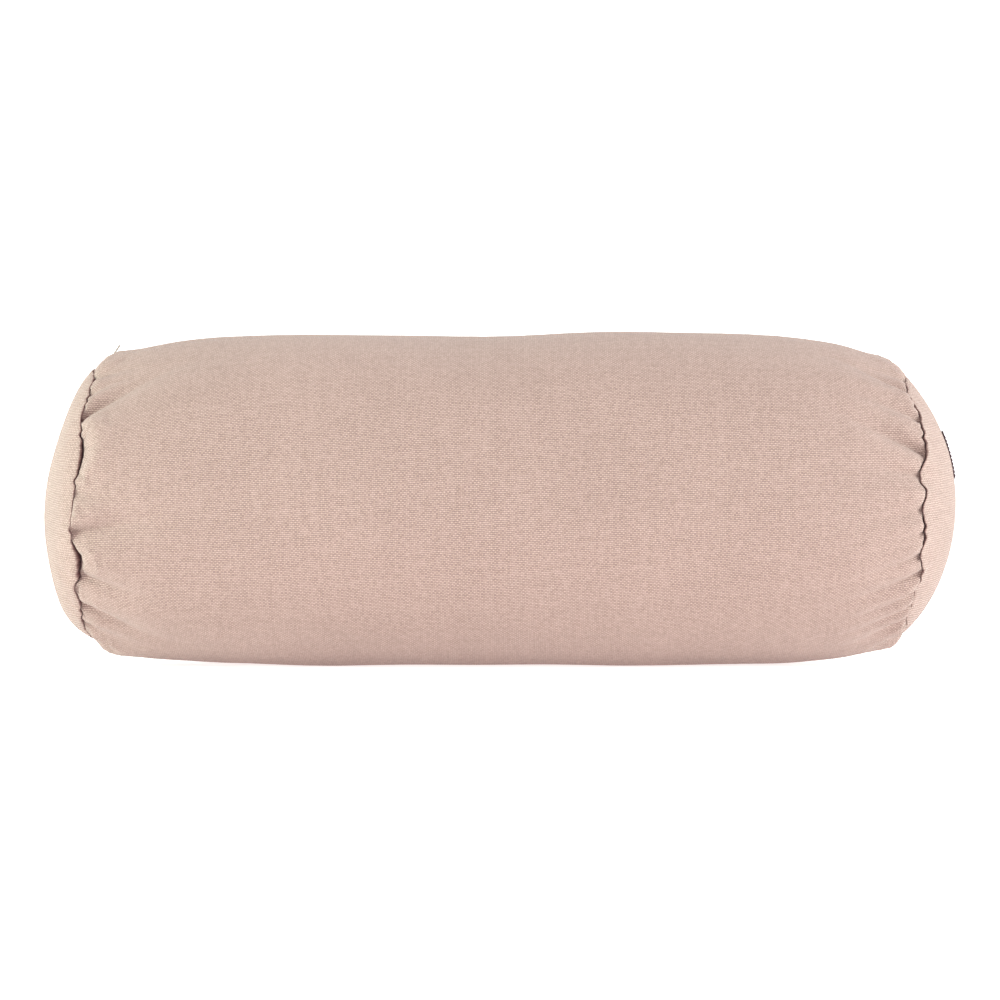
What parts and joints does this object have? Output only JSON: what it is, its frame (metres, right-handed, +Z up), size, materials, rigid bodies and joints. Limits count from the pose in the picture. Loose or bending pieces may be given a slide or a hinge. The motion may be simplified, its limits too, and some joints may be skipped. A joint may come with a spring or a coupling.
{
  "type": "bolster pillow",
  "caption": "Long round bolster cushion in plain-woven canvas with gathered, domed ends, a zip along its back and a fibre-filled inner pad.",
  "frame": {"origin": "on the flattened underside, below the middle of the roll, at the centre of the bounding box's base", "axes": "+Z up; +X along the roll towards the end with the sewn-on label; +Y towards the back, where the zip is"},
  "size_m": [0.6, 0.2212, 0.2194],
  "materials": {
    "cover_canvas": "plain-woven cotton canvas, sand beige",
    "sewing_thread": "polyester sewing thread, matt",
    "zip_tape": "woven polyester tape, matt",
    "nylon_coil": "nylon monofilament, slight sheen",
    "zip_metal": "lacquered zinc alloy, satin",
    "label_satin": "dark plum woven satin, blank",
    "care_label_tape": "white satin tape, blank",
    "pad_calico": "unbleached calico, matt",
    "pad_thread": "white polyester thread",
    "polyester_fibre": "white hollow polyester fibre"
  },
  "bodies": {
    "pillow": {"cover_barrel_panel": "cover_canvas", "cover_end_left": "cover_canvas", "cover_end_right": "cover_canvas", "end_seam_thread_left": "sewing_thread", "end_seam_thread_right": "sewing_thread", "overlock_edge_left": "sewing_thread", "overlock_edge_right": "sewing_thread", "seam_thread_tail": "sewing_thread", "long_seam_thread": "sewing_thread", "zip_tape_upper": "zip_tape", "zip_tape_lower": "zip_tape", "zip_coil_upper": "nylon_coil", "zip_coil_lower": "nylon_coil", "zip_top_stops": "zip_metal", "zip_bottom_stop": "zip_metal", "zip_stitch_row_upper": "sewing_thread", "zip_stitch_row_lower": "sewing_thread", "zip_bartack_left": "sewing_thread", "zip_bartack_right": "sewing_thread", "woven_label": "label_satin", "label_stitching": "sewing_thread", "care_label": "care_label_tape", "pad_barrel_panel": "pad_calico", "pad_end_left": "pad_calico", "pad_end_right": "pad_calico", "pad_seam_left": "pad_thread", "pad_seam_right": "pad_thread", "pad_closing_stitches": "pad_thread", "fibre_filling": "polyester_fibre"},
    "zip_slider": {"zip_slider_body": "zip_metal"},
    "pull_tab": {"zip_pull_tab": "zip_metal"}
  },
  "joints": [
    {"name": "zip_slider_run", "type": "slide", "parent": "pillow", "child": "zip_slider", "axis": [1, 0, 0], "range_m": [0, 0.372], "deforming": ["zip_coil_upper", "zip_coil_lower"]},
    {"name": "pull_tab_turn", "type": "hinge", "parent": "zip_slider", "child": "pull_tab", "pos_m": [-0.1876, 0.10158, 0.14577], "axis": [0, -0.342, 0.9397], "range_deg": [0, 175]}
  ]
}
